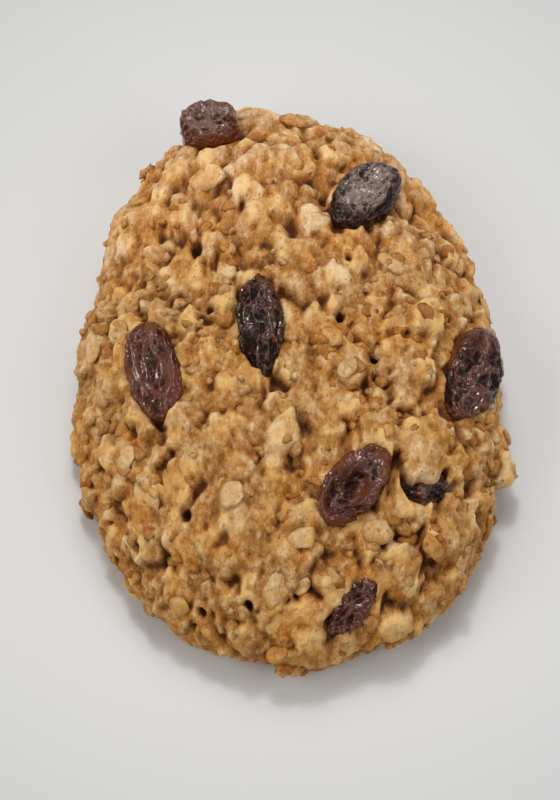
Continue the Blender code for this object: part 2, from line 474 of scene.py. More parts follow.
def grid_faces(rows, columns, first=0):
    """Quads between neighbours of a grid of points, numbered row by row from first."""
    index = first + np.arange(rows * columns).reshape(rows, columns)
    corners = index[:-1, :-1], index[:-1, 1:], index[1:, 1:], index[1:, :-1]
    return np.stack([c.ravel() for c in corners], axis=-1)


def border(cells, first=0):
    """The numbers of a square grid's border points, anticlockwise from its lower left corner."""
    index = first + np.arange((cells + 1) ** 2).reshape(cells + 1, cells + 1)
    return np.concatenate([index[0, :-1], index[:-1, -1], index[-1, :0:-1], index[:0:-1, 0]])


def add_object(name, data):
    """Puts a mesh, a light or a camera into the scene."""
    added = bpy.data.objects.new(name, data)
    bpy.context.scene.collection.objects.link(added)
    return added


def add_piece(name, points, faces, material, slot, replaced=(), **fields):
    """A smooth-shaded mesh object at the origin, with its fields as attributes of its points."""
    mesh = bpy.data.meshes.new(name)
    mesh.from_pydata(points.reshape(-1, 3), [], [f for block in faces for f in block.tolist()])
    for field, values in fields.items():
        layer = mesh.attributes.new(field, "FLOAT", "POINT")
        layer.data.foreach_set("value", np.asarray(values, np.float32).ravel())
    mesh.shade_smooth()
    mesh.update()
    mesh.materials.append(material)
    piece = add_object(name, mesh)
    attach(piece, BODY)
    if replaced:
        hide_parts(*replaced)


# ---- form of the dough

def outline(bearing):
    """The edge in plan, as points: waves round an oval, stretched to the dough's length and width."""
    around = np.linspace(0, 2 * math.pi, OUTLINE_POINTS)

    def radius(angle):
        waves = [w.share * np.cos(w.count * (angle - math.radians(w.bearing))) for w in WAVES]
        return 1 + sum(waves)

    def place(angle):
        return np.stack([radius(angle) * np.cos(angle), radius(angle) * np.sin(angle)], axis=-1)

    ring = place(around)
    low, high = ring.min(axis=0), ring.max(axis=0)
    room_low, room_high = DOUGH_LOW[:2] + INSET_LOW, DOUGH_HIGH[:2] - INSET_HIGH
    scale = (room_high - room_low) / (high - low)
    centre = room_low - low * scale
    return centre, place(bearing) * scale


def section():
    """From the crown to the edge of the base in even steps: how far, share of the outline, level."""
    crest = DOUGH_HIGH[2] - CREST_INSET
    girth = crest * GIRTH_SHARE
    turn = np.linspace(0, math.pi / 2, SECTION_STEPS)
    dome_share = np.sin(turn) ** (2 / EDGE_POWER)
    dome_level = girth + (crest - girth) * np.cos(turn) ** (2 / CROWN_POWER)
    under_share = 1 - UNDERCUT_SHARE * (1 - np.cos(turn))
    under_level = girth * (1 - np.sin(turn))
    shares = np.concatenate([dome_share, under_share[1:]])
    levels = np.concatenate([dome_level, under_level[1:]])
    walked = np.hypot(np.diff(shares) * DOUGH_HIGH[0], np.diff(levels)).cumsum()
    return np.concatenate([[0], walked / walked[-1]]), shares, levels


def smooth_form(reach, bearing):
    """The dough without its lumps: each reach takes its level and its share of the outline."""
    along, shares, levels = section()
    centre, edge = outline(bearing)
    plan = centre + edge * np.interp(reach, along, shares)[..., None]
    return np.concatenate([plan, np.interp(reach, along, levels)[..., None]], axis=-1)


def grid_normals(points):
    """Outward normals of a grid of points, from the cross product of its two slopes."""
    down, across = np.gradient(points, axis=0), np.gradient(points, axis=1)
    return unit(np.cross(across, down))


# ---- raisins measured from their solids

RaisinBox = namedtuple("RaisinBox", "name centre axes half")

# What sets each raisin apart. Pose over its solid: turn (degrees), upright (share), shift along its
# axes (mm) and grow (length, width, thickness). Skin: tip sharpness, squareness, dish pressed into
# its upper side (mm), folds and how far they run lengthways, wrinkles, fine crinkles, and how calm
# and red its far end is. Colour: red, and bloom, which is dust and also a painted sheen. Opening: how
# much of it the crust leaves open. Hollow: how far the dish lies towards the far end, as a share of
# the half length.
RaisinLook = namedtuple(
    "RaisinLook",
    "turn upright shift grow tip square dish fold stretch wrinkle crinkle calm red bloom opening hollow",
    defaults=(0.0, 0.3, 0.2, 1.0, 0.0),
)
RAISIN_LOOKS = {
    "raisin_back_left": RaisinLook(
        0, 0.6, (0, 0, -0.3), (1.0, 1.0, 1.0), 0.55, 0.65, 1.1, 0.6, 1.0, 0.9, 0.8, 0.0, 0.7, 0.55),
    "raisin_back_right": RaisinLook(
        3, 0.7, (0, 0, 0), (1.04, 0.92, 1.1), 0.95, 0.75, 0.9, 0.1, 3.5, 0.4, 1.4, 0.0, 0.0, 1.5),
    "raisin_middle": RaisinLook(
        0, 0.3, (0.2, 0, -0.3), (1.08, 0.90, 1.0), 1.4, 1.0, 0.0, 0.3, 2.6, 0.8, 1.6, 0.0, 0.05, 0.1),
    "raisin_left": RaisinLook(
        -4, 0.2, (0, -0.3, 0), (0.95, 0.84, 1.0), 1.05, 0.85, 1.5, 0.2, 5.0, 0.8, 1.4, 0.0, 0.5, 0.15),
    "raisin_right": RaisinLook(
        -13, 0.1, (0, -0.1, 0), (1.05, 0.90, 1.0), 1.15, 0.9, 0.4, 0.6, 1.8, 1.0, 1.2, 0.9, 0.15, 0.1),
    "raisin_front": RaisinLook(
        0, 0.1, (0, -0.3, 0), (1.0, 0.78, 1.05),
        0.9, 0.8, 2.6, 0.8, 1.5, 0.8, 1.0, 0.0, 0.35, 0.12, 1.0, -0.25),
    "raisin_buried": RaisinLook(
        0, 0.0, (-0.8, -0.6, -1.5), (0.95, 0.95, 0.9), 0.85, 1.0, 0.0, 0.5, 1.6, 0.5, 1.0, 0.0, 0.2, 0.0),
    "raisin_front_side": RaisinLook(
        8, 0.0, (0.6, 0, -2.6), (0.92, 0.72, 0.9), 0.85, 1.0, 0.6, 0.4, 2.2, 0.8, 1.5, 0.0, 0.3, 0.0, 0.5),
}
RAISIN_AROUND = 200
RAISIN_ALONG = 140
SWELL_SIZE = 5.0 * MM
SWELL_SHARE = 0.18

# The dish in a raisin's upper side, as shares of its half sizes: how far it reaches, how much its
# width counts, over what girth at least, and where its wall runs. It fades where the skin turns down.
DISH_REACH = 0.8
DISH_WIDTH = 0.9
DISH_GIRTH = 0.3
DISH_WALL = (1.0, 0.35)
DISH_LEVELS = (0.1, 0.5)

# Folds, wrinkles and crinkles of the skin: their sizes, heights, the mean of their crests and where
# in the noise they start. The last two run along the borders of cells, over a share of their width.
# All of them sway, and a rise of the whole span takes the skin from its folds to its crests.
WRINKLE_SIZES = (2.9 * MM, 1.8 * MM, 0.85 * MM)
WRINKLE_HEIGHTS = (1.2 * MM, 0.52 * MM, 0.20 * MM)
WRINKLE_MEANS = (0.45, 0.25, 0.25)
WRINKLE_WIDTH = 0.42
WRINKLE_SHIFTS = (3.1, 9.7, 15.3)
FOLD_POWER = 2.0
WRINKLE_POWER = 1.5
WRINKLE_SWAY = 1.6 * MM
SWAY_SIZE = 2.2 * MM
RIDGE_SPAN = 0.8 * MM

# A calm far end: where it starts, how far it leans to one side, how much of the wrinkles it loses
# and how much red it gains. The rim of a raisin is painted redder too, a glow as of light through its
# thin edge, and bloom lies on what faces up, dust that is also a painted sheen.
CALM_ALONG = (-0.1, 0.5)
CALM_LEAN = 0.3
CALM_LOSS = 0.75
CALM_RED = 0.5
RIM_ALONG = (0.75, 1.0)
# The rim's redness is a painted glow, as of light through the thin edge.
RIM_RED = 0.35
BLOOM_AND_SHEEN_LEVELS = (0.5, 0.97)


def measure_raisin(name):
    """Centre, three axes (long, side, up) and half sizes of a raisin, from its solid's spread."""
    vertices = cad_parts[name].data.vertices
    points = np.empty(len(vertices) * 3)
    vertices.foreach_get("co", points)
    points = points.reshape(-1, 3)
    _, spread = np.linalg.eigh(np.cov((points - points.mean(axis=0)).T))
    up, long = spread[:, 0], spread[:, 2]
    up = up * np.sign(up[2])
    long = long * np.sign(long[1])
    axes = np.stack([long, np.cross(up, long), up])
    local = points @ axes.T
    low, high = local.min(axis=0), local.max(axis=0)
    box = RaisinBox(name, (low + high) / 2 @ axes, axes, (high - low) / 2)
    return posed(box, RAISIN_LOOKS[name])


def posed(box, look):
    """The raisin's box turned about its upright axis, leant upright, shifted and grown."""
    long, side, up = box.axes
    up = unit(up * (1 - look.upright) + np.array([0, 0, look.upright]))
    turn = math.radians(look.turn)
    long = long * math.cos(turn) + side * math.sin(turn)
    long = unit(long - up * (long @ up))
    axes = np.stack([long, np.cross(up, long), up])
    centre = box.centre + np.array(look.shift) * MM @ axes
    return RaisinBox(box.name, centre, axes, box.half * look.grow)


def raisin_body(box, look, shift):
    """A raisin without its wrinkles: a flattened spindle in rings from tip to tip, with a dish.

    Each ring's width is the sine of its place along the raisin, to a power that sets how sharp
    the tips are, and its section is a superellipse. The dish sinks into the upper side inside a
    rim. Returns the sines, the form at half size 1 and the body itself.
    """
    along = np.linspace(0, math.pi, RAISIN_ALONG + 1)[1:-1]
    around = np.linspace(0, 2 * math.pi, RAISIN_AROUND, endpoint=False)
    t, a = np.meshgrid(along, around, indexing="ij")
    girth = np.sin(t) ** look.tip
    section = [np.sign(w) * np.abs(w) ** look.square * girth for w in (np.cos(a), np.sin(a))]
    ball = np.stack([-np.cos(t), *section], axis=-1)
    body = ball * box.half
    swell = fractal_noise(body, SWELL_SIZE, 2, shift + 1.7) * SWELL_SHARE
    body = body * (1 + swell[..., None])
    sideways = ball[..., 1] / np.maximum(girth, DISH_GIRTH) * DISH_WIDTH
    inward = np.hypot(ball[..., 0] - look.hollow, sideways) / DISH_REACH
    dish = smooth_step(*DISH_WALL, inward) * smooth_step(*DISH_LEVELS, ball[..., 2])
    body[..., 2] -= dish * look.dish * MM
    return np.sin(t), ball, body


def skin_rise(body, look, shift):
    """How far a raisin's skin stands up in crests.

    The largest crests run where smooth noise passes through its mean, and two finer sets run
    along the borders of packed cells.
    """
    sway = swaying(body, SWAY_SIZE, 3, (shift, shift + 5, shift + 11))
    sway = sway * WRINKLE_SWAY / math.sqrt(look.stretch)
    lengthways = (body + sway) / np.array([look.stretch, 1, 1])
    crests = [creases(lengthways, WRINKLE_SIZES[0], FOLD_POWER, shift + WRINKLE_SHIFTS[0])]
    for size, start in zip(WRINKLE_SIZES[1:], WRINKLE_SHIFTS[1:]):
        gap = packed_cells(lengthways, size, shift + start)[1]
        crests.append(np.clip(1 - gap / WRINKLE_WIDTH, 0, 1) ** WRINKLE_POWER)
    heights = np.array(WRINKLE_HEIGHTS) * (look.fold, look.wrinkle, look.crinkle)
    levels = zip(heights, crests, WRINKLE_MEANS)
    return sum(height * (crest - mean) for height, crest, mean in levels)


def raisin_points(box, look, shift):
    """A raisin's points, its two tips last, and their fields for the material."""
    sines, ball, body = raisin_body(box, look, shift)
    calm = look.calm * smooth_step(*CALM_ALONG, ball[..., 0] + CALM_LEAN * ball[..., 1])
    rise = skin_rise(body, look, shift) * (1 - CALM_LOSS * calm)
    body = body + unit(ball / box.half) * (rise * sines)[..., None]
    tips = np.array([[-1, 0, 0], [1, 0, 0]]) * box.half
    points = np.concatenate([body.reshape(-1, 3), tips]) @ box.axes + box.centre
    # The redder rim is a painted glow, as of light through the thin edge.
    rim = smooth_step(*RIM_ALONG, np.hypot(ball[..., 0], ball[..., 1]))
    fields = {
        "ridge": np.clip(0.5 + rise / RIDGE_SPAN, 0, 1),
        "red": look.red + RIM_RED * rim * look.red + CALM_RED * calm,
        # Bloom on what faces up is dust and also a painted sheen.
        "bloom": look.bloom * smooth_step(*BLOOM_AND_SHEEN_LEVELS, ball[..., 2]),
    }
    ends = {"ridge": 0.5, "red": look.red, "bloom": 0.0}
    for name, values in fields.items():
        fields[name] = np.append(values.ravel(), [ends[name]] * 2)
    return points, fields


def raisin_faces():
    """Quads round the rings, and a fan of triangles at each tip."""
    rows = RAISIN_ALONG - 1
    index = np.arange(rows * RAISIN_AROUND).reshape(rows, RAISIN_AROUND)
    after = np.roll(index, -1, axis=1)
    sides = np.stack([index[:-1], after[:-1], after[1:], index[1:]], axis=-1).reshape(-1, 4)
    start, end = rows * RAISIN_AROUND, rows * RAISIN_AROUND + 1
    first = np.stack([np.full(RAISIN_AROUND, start), after[0], index[0]], axis=-1)
    last = np.stack([np.full(RAISIN_AROUND, end), index[-1], after[-1]], axis=-1)
    return [sides, first, last]


# ---- relief of the crust

class Crust:
    """The crust while it is raised: its smooth form and normals, and fields on the same grid."""

    def __init__(self, settings):
        self.reach, bearing = disc_grid(CRUST_CELLS)
        self.form = smooth_form(self.reach, bearing)
        self.normal = grid_normals(self.form)
        size, height = CRUST_SWELL
        self.height = fractal_noise(self.form, size, 2, 4.0) * height
        # The shade field says how much painted shade darkens pits and the dough round raisins.
        fields = np.zeros((6, *self.reach.shape))
        self.tint, self.crease, self.oat, self.painted_shade, self.overhang, self.band = fields
        self.rng = np.random.default_rng(settings.seed)
        self.relief = settings.relief * MM
        size, height = LUMP_SWAY
        spread = self.form / STRETCH
        self.warp = [fractal_noise(spread, size, 2, shift) * height for shift in (0.0, 19.0)]

    def surface(self):
        return self.form + self.normal * self.height[..., None]

    def nearest(self, place):
        """Row and column of the smooth form's point nearest to a place in millimetres."""
        gaps = np.linalg.norm(self.form - np.array(place) * MM, axis=-1)
        return np.unravel_index(np.argmin(gaps), gaps.shape)

    def window(self, row, column, half):
        """The slices of the grid within half a width of a point, and their offsets from it."""
        cells = int(half * STRETCH.max() / FINEST_CELL) + 1
        rows = slice(max(0, row - cells), row + cells + 1)
        columns = slice(max(0, column - cells), column + cells + 1)
        return (rows, columns), (self.form[rows, columns] - self.form[row, column]) / STRETCH

    def raise_lump(self, row, column, lump, ground):
        """An oval cap over the ground at its middle: it is kept wherever it is above the crust.

        Its height falls from the middle as a power of 1 - q to a power, where q is the distance
        in half lengths and half widths, and its foot tilts evenly along its length.
        """
        half = lump.half * MM
        ahead, side = tangents(self.normal[row, column], lump.heading)
        here, offset = self.window(row, column, half * LUMP_ROOM)
        a = (offset @ ahead + self.warp[0][here]) / half
        b = (offset @ side + self.warp[1][here]) / (half * lump.slimness)
        q = np.hypot(a, b)
        cap = np.clip(1 - q**lump.power, 0, 1) ** CAP_POWER * lump.rise * self.relief
        cap = cap + lump.lift * self.relief + lump.tilt * a * half + ground[row, column]
        over = (q < 1) & (cap > self.height[here])
        self.height[here] = np.where(over, cap, self.height[here])
        self.tint[here] = np.where(over, lump.tint, self.tint[here])
        self.oat[here] = np.where(over, lump.oat, self.oat[here])
        self.crease[here] = np.where(over, 0, self.crease[here])
        return here, q

    def pack_nuggets(self, nuggets):
        """Bulging cells side by side: some stand over others, and the creases come and go."""
        size, start = nuggets.size, nuggets.shift
        shifts = (start + 1, start + 9, start + 27)
        sway = swaying(self.form, size * NUGGET_SWAY_SIZE * MM, 2, shifts)
        spread = self.form / STRETCH + sway * size * NUGGET_SWAY * MM
        first, gap, along, kind = packed_cells(spread, size * MM, start)
        top = 1 - np.exp(-gap * size / nuggets.round) - NUGGET_DOME * first**2 - NUGGET_MEAN
        patches = value_noise(self.form, size * CREASE_PATCH * MM, start)
        depth = CREASE_LEAST + CREASE_MORE * smooth_step(*CREASE_LEVELS, patches)
        crease = (1 - smooth_step(0, nuggets.width / size, gap)) * depth
        rise = nuggets.bulge * top - nuggets.crease * crease + nuggets.step * (kind - 0.5)
        rise = rise + nuggets.tilt * along
        calm = 1 - WALL_CALM * smooth_step(*WALL_REACH, self.reach)
        self.height += rise * calm * self.relief
        self.tint += kind * size**0.5 / sum(n.size**0.5 for n in NUGGETS)
        self.crease = np.maximum(self.crease, crease)

    def add_layer(self, layer):
        """Lumps on a jittered grid of places, with random sizes, headings and tints."""
        ground = self.height.copy()
        count = int(GRID_WIDTH / layer.spacing)
        places = np.stack(np.meshgrid(np.arange(count), np.arange(count)), axis=-1).reshape(-1, 2)
        places = (places + self.rng.random(places.shape)) / count * CRUST_CELLS
        self.rng.shuffle(places)
        for row, column in places.astype(int):
            limits = (layer.half, layer.slimness, layer.lift, layer.rise)
            half, slimness, lift, rise = (self.rng.uniform(*ends) for ends in limits)
            heading, tilt = self.rng.uniform(0, math.pi), self.rng.uniform(-1, 1) * layer.tilt
            tint = self.rng.random()
            lump = Lump(heading, half, slimness, lift, rise, layer.power, tilt, tint, layer.oat)
            self.raise_lump(row, column, lump, ground)

    def dig_pit(self, row, column, half):
        """A steep round pit whose floor is level, painted dark with shade."""
        here, offset = self.window(row, column, half * PIT_ROOM)
        a, b = (offset @ axis for axis in tangents(self.normal[row, column], 0.0))
        a, b = a + self.warp[0][here] * PIT_SWAY, b + self.warp[1][here] * PIT_SWAY
        pit = 1 - smooth_step(*PIT_WALL, np.hypot(a, b) / half)
        self.height[here] -= PIT_DEPTH * pit
        self.painted_shade[here] = np.maximum(self.painted_shade[here], PIT_SHADE * pit)

    def across_raisin(self, box):
        """Distances from a raisin's middle in half lengths and widths, and heights over it."""
        local = (self.form - box.centre) @ box.axes.T
        q = np.hypot(local[..., 0] / box.half[0], local[..., 1] / box.half[1])
        near = np.linalg.norm(self.form - box.centre, axis=-1) < box.half[0] * RAISIN_NEAR
        facing = (self.normal @ box.axes[2]) > RAISIN_FACING
        return np.where(near & facing, q, FAR_OFF), local

    def press_raisin(self, box):
        """Sinks the crust under a raisin, so that only the dough round it meets its sides.

        The rim of the hollow is ragged, and it may be narrower than the raisin. The dough round it is
        painted darker as shade.
        """
        q, local = self.across_raisin(box)
        ragged = fractal_noise(self.form, RIM_SIZE, 2, 51.0) * RIM_RAGGED
        q = q / RAISIN_LOOKS[box.name].opening + ragged
        sunk = -local[..., 2] - SEAT_SHARE * box.half[2]
        inside = (1 - smooth_step(*HOLLOW_WALL, q)) * (1 - self.overhang)
        if box.name == COVERED:
            inside = inside * self.band
        self.height = self.height * (1 - inside) + np.minimum(self.height, sunk) * inside
        self.painted_shade = np.maximum(self.painted_shade, 1 - smooth_step(*HOLLOW_SHADE, q))


def crust_heights(settings, boxes):
    """The finished crust: layers of lumps, raisin hollows, pits and a fine grain."""
    crust = Crust(settings)
    for nuggets in NUGGETS[:3]:
        crust.pack_nuggets(nuggets)
    for place, lump in LANDMARKS:
        crust.raise_lump(*crust.nearest(place), lump, blurred(crust.height, GROUND_BLUR))
    place, cover = COVER
    ground = blurred(crust.height, GROUND_BLUR)
    here, q = crust.raise_lump(*crust.nearest(place), cover, ground)
    crust.overhang[here] = 1 - smooth_step(*COVER_EDGE, q)
    crust.band[here] = 1 - smooth_step(*COVER_BAND, q)
    crust.add_layer(FLAKE_LAYER)
    crust.pack_nuggets(NUGGETS[3])
    crust.add_layer(NUB_LAYER)
    for place, half in PITS:
        crust.dig_pit(*crust.nearest(place), half * MM)
    for box in boxes:
        crust.press_raisin(box)
    fine = fractal_noise(crust.form / STRETCH, GRAIN_SIZE, 2, 2.0)
    crust.height = blurred(crust.height, 1) + fine * 2 * settings.grain
    wide, close = blurred(crust.height, BROAD_BLUR), blurred(crust.height, NEAR_BLUR)
    # How sunk the crust lies under its broad form and its near surroundings, with the pits and the rims of
    # the raisin hollows: the material paints shade there.
    crust.cavity = np.clip((wide - crust.height) / CAVITY_DEPTH, -1, 1)
    sunk = (close - crust.height) / CREASE_DEPTH
    crust.crease = np.clip(crust.crease * CREASE_KEPT + sunk + crust.painted_shade, -1, 2)
    crust.height = crust.height * (1 - smooth_step(*FOOT, crust.reach))
    crust.tint = blurred(crust.tint, 1)
    crust.oat = blurred(crust.oat, 1)
    return crust


def underside():
    """The base: a coarser disc just inside the crust's rim, rough and grooved upwards only."""
    reach, bearing = disc_grid(BASE_CELLS)
    centre, edge = outline(bearing)
    plan = centre + edge * (reach * BASE_RING * (1 - UNDERCUT_SHARE))[..., None]
    flat = np.concatenate([plan, np.zeros(reach.shape + (1,))], axis=-1)
    size, height = BASE_ROUGH
    rough = np.clip(fractal_noise(flat, size, 4, 31.0), 0, 1) * height
    size, height = BASE_GROOVES
    grooves = creases(flat, size, GROOVE_POWER, 12.0) * height
    flat[..., 2] = (rough + grooves) * (1 - smooth_step(*BASE_LEVEL, reach)) + BASE_LIFT
    return flat


def join_rims(first):
    """Triangles between the crust's rim and the underside's, which has half as many points."""
    outer, inner = border(CRUST_CELLS), border(BASE_CELLS, first)
    here, mid, after = outer[0::2], outer[1::2], np.roll(outer, -2)[0::2]
    inner_after = np.roll(inner, -1)
    return np.concatenate([
        np.stack([here, inner, mid], axis=-1),
        np.stack([mid, inner, inner_after], axis=-1),
        np.stack([mid, inner_after, after], axis=-1),
    ])


# ---- loose oats and crumbs

def pebble(cells, squareness):
    """A closed form of half size 1: two discs of points meeting at the rim, domed both ways.

    Its height is the root of 1 - reach to a power: 2 makes a ball, more makes a flatter flake.
    """
    reach, bearing = disc_grid(cells)
    plan = reach * np.stack([np.cos(bearing), np.sin(bearing)])
    thick = np.sqrt(np.clip(1 - reach**squareness, 0, 1))
    top = np.stack([*plan, thick], axis=-1).reshape(-1, 3)
    low = np.stack([*plan, -thick], axis=-1).reshape(-1, 3)
    inner = np.setdiff1d(np.arange(len(low)), border(cells))
    number = np.arange(len(low))
    number[inner] = len(low) + np.arange(len(inner))
    faces = grid_faces(cells + 1, cells + 1)
    return np.concatenate([top, low[inner]]), [faces, number[faces][:, ::-1]]


def crust_spots(crust, spots):
    """The crust's points at rows and columns, and the ways the crust round them faces."""
    surface = crust.surface()
    broad = np.stack([blurred(surface[..., axis], FACING_BLUR) for axis in range(3)], axis=-1)
    rows, columns = spots[:, 0], spots[:, 1]
    facing = crust.normal[rows, columns] + grid_normals(broad)[rows, columns]
    return surface[rows, columns], unit(facing)


def turned_axes(normals, headings, leans):
    """Three axes for each copy: ahead along its heading in plan, leant up, then side and up."""
    ahead, side = tangents(normals, headings)
    ahead = unit(ahead + normals * np.tan(leans)[:, None])
    return np.stack([ahead, side, unit(np.cross(ahead, side))], axis=1)


def chipped(shape, count, chips, rng):
    """Copies of a round shape: what stands past a few random planes is pressed flat onto them."""
    points = np.repeat(shape[None], count, axis=0)
    for _ in range(chips):
        way = unit(rng.normal(size=(count, 3)))
        past = np.einsum("cpk,ck->cp", points, way) - rng.uniform(*CHIP_DISTANCES, (count, 1))
        past = np.clip(past, 0, None)
        points = points - past[..., None] * way[:, None]
    return points


def repeated(faces, points_each, count):
    """Blocks of faces for every copy, numbered copy after copy."""
    shift = (np.arange(count) * points_each)[:, None, None]
    return [(block[None] + shift).reshape(-1, block.shape[1]) for block in faces]


def browned_and_shaded(points):
    """Browning at points: painted shade towards the broad end, and bake low on the walls."""
    low, high, amount = BROWN_AND_SHADE_RISE
    total = amount * np.clip((points[..., 1] - low) / (high - low), 0, 1)
    for axis, (low, high, amount) in ((1, BROWN_AND_SHADE_STEP), (2, BROWN_FOOT)):
        total += amount * smooth_step(low, high, points[..., axis])
    return total


def clear_of_raisins(points, room):
    """True for points outside every raisin's oval by a share of its size."""
    clear = np.ones(len(points), bool)
    for box in raisin_boxes():
        local = np.abs((points - box.centre) @ box.axes.T) / box.half
        clear &= np.hypot(local[:, 0], local[:, 1]) > room
    return clear


def loose_places(loose, count, crust, fixed, rng):
    """Centres, normals, axes and half sizes of loose pieces that lie clear of the raisins.

    The fixed ones come first, each with a place, a heading and half sizes of its own.
    """
    spots = rng.integers(CRUST_MARGIN, CRUST_CELLS - CRUST_MARGIN, (count, 2))
    if fixed:
        spots = np.concatenate([[crust.nearest(flake[0]) for flake in fixed], spots])
    centres, normals = crust_spots(crust, spots)
    clear = clear_of_raisins(centres, loose.room)
    clear[:len(fixed)] = True
    count = len(centres)
    leans = rng.uniform(*loose.lean, count)
    headings = rng.uniform(0, 2 * math.pi, count)
    half = rng.uniform(*loose.half, count)
    wide = half * rng.uniform(*loose.slim, count)
    for number, (_, heading, half_length, half_width) in enumerate(fixed):
        headings[number], leans[number] = heading, FLAKE_LEAN
        half[number], wide[number] = half_length, half_width
    axes = turned_axes(normals, headings, leans)
    sizes = np.stack([half, wide, rng.uniform(*loose.thick, count)], axis=-1) * MM
    return [values[clear] for values in (centres, normals, axes, sizes)]


def scatter(loose, count, seed, crust, fixed=()):
    """Pebbles set into the crust: chipped, leant, sunk and lobed, each in its own way.

    Returns the points, the faces and fields for the material: a tint for each pebble, how deep a
    point lies under its pebble's top, which paints its lower side darker and its top lighter as
    shade and light, and how browned and painted with shade it is.
    """
    rng = np.random.default_rng(seed)
    shape, faces = pebble(loose.cells, loose.squareness)
    centres, normals, axes, sizes = loose_places(loose, count, crust, fixed, rng)
    count = len(centres)
    shapes = chipped(shape, count, loose.chips, rng)
    middles = centres - normals * loose.sink * MM
    points = np.einsum("cpk,ck,ckx->cpx", shapes, sizes, axes) + middles[:, None]
    lobes = fractal_noise(points, loose.lobe_size * MM, 2, 8.0)[..., None] * loose.lobes
    points = points + (points - centres[:, None]) * lobes
    bend = fractal_noise(points, loose.lobe_size * MM, 2, 15.0)[..., None] * normals[:, None]
    points = points + bend * loose.bend * MM
    tints = np.append(np.full(len(fixed), FIXED_TINT), rng.random(count - len(fixed)))
    # A point's height over its pebble's middle sets how sunk it counts: painted shade on the lower side
    # and painted light on the top.
    level = np.einsum("cpk,ck->cp", points - centres[:, None], normals)
    level = level / (sizes[:, 2:] + LOOSE_SKIN)
    fields = {
        "tint": np.repeat(tints, len(shape)),
        "cavity": LOOSE_CAVITY - LOOSE_LIGHTENING * level,
        "bake": browned_and_shaded(points),
    }
    return points, repeated(faces, len(shape), count), fields


# ---- materials

# Sums of fields and patterns: a start, then the weight of each.
GRAINS = (0.0, {"tone": 0.30, "fine tone": 0.25, "dome": 0.25, "fine dome": 0.2})
GRAIN_HEIGHT = (0.0, {"patches": 1.0, "dome": 0.5, "fine dome": 0.3, "tone": 0.2, "pores": -0.5})
# Light level: the dough's random tone and oat, less how sunk it lies in hollows and creases, so tops are
# painted lighter and hollows darker: partly painted light and shade.
LIGHT = (
    -0.19,
    {"tint": 0.28, "cavity": -0.37, "crease": -0.16, "patches": 0.60, "grains": 0.60, "oat": 0.6},
)
TOAST = (-0.50, {"close": 1.1, "broad": 1.1, "tint": -0.35, "oat": 0.3, "cavity": -0.2})
# How deep the dough lies in hollows and creases: there it is painted dark as shade.
DARK = (0.0, {"cavity": 0.8, "crease": 0.5})
CRESTS = (0.0, {"wide": 0.6, "close": 0.4})
CRINKLE_HEIGHT = (0.0, {"wide": 0.6, "close": 0.4, "fine": 0.12})
# Redness rises on crests and falls in folds, so the folds are painted near-black: partly the skin's own
# dark, partly painted shade.
REDNESS = (-1.45, {"red": 1.0, "broad": 1.1, "ridge": 1.4, "crests": 0.2})
# Dust lies on ridges and crests and also paints glints and sheen on them.
DUST_AND_SHEEN = (-0.4, {"ridge": 0.9, "crests": 0.6, "broad": 0.6})
COAT = (0.0, {"ridge": 0.9, "crests": 0.45})
SKIN_ROUGHNESS = {"ridge": -0.2, "broad": 0.1}

# Scales of noise, in cells a metre: close and broad patches of the dough, broad patches of a raisin
# and its finest crinkles.
CLOSE_SCALE = 520.0
BROAD_SCALE = 150.0
SKIN_SCALE = 300.0
FINE_SCALE = 4200.0

# How far a grain's dome reaches, between which distances a pore's edge lies, how much calmer bare
# oat is, and how rough the dough is between two levels of its patches.
DOME_REACH = 0.8
PORE_EDGE = (0.30, 0.12)
OAT_CALM = 0.5
DOUGH_ROUGHNESS = (0.3, 0.7, 0.62, 0.85)

# Shades of dough from brown up: between which levels of light each one takes over. Cream on the
# highest is partly a painted highlight.
SHADES = (("tan", 0.05, 0.5), ("pale", 0.45, 1.0), ("cream_and_highlight", 0.80, 1.25))

# Levels of toast between which dough turns golden, and below which it turns grey. Sunk dough has
# less toast, so hollows are greyer: partly painted shade.
GOLDEN = (0.38, 0.66)
GREY = (0.38, 0.08)

# Levels between which hollows and creases are painted dark with shade, with the amounts at both,
# and how much bran specks darken and how much pores are painted dark with shade.
DARKENING = (0.6, 1.4, 0.0, 0.95)
SPECK_SHARE = 0.6
PORE_SHARE = 0.45

# Levels between which dust, with a painted sheen, and the coat come up on a raisin's crests, and how
# much rougher than the setting its folds are.
DUST_AND_SHEEN_LEVELS = (0.3, 0.9)
COAT_LEVELS = (0.50, 0.92)
FOLD_ROUGHNESS = 0.12


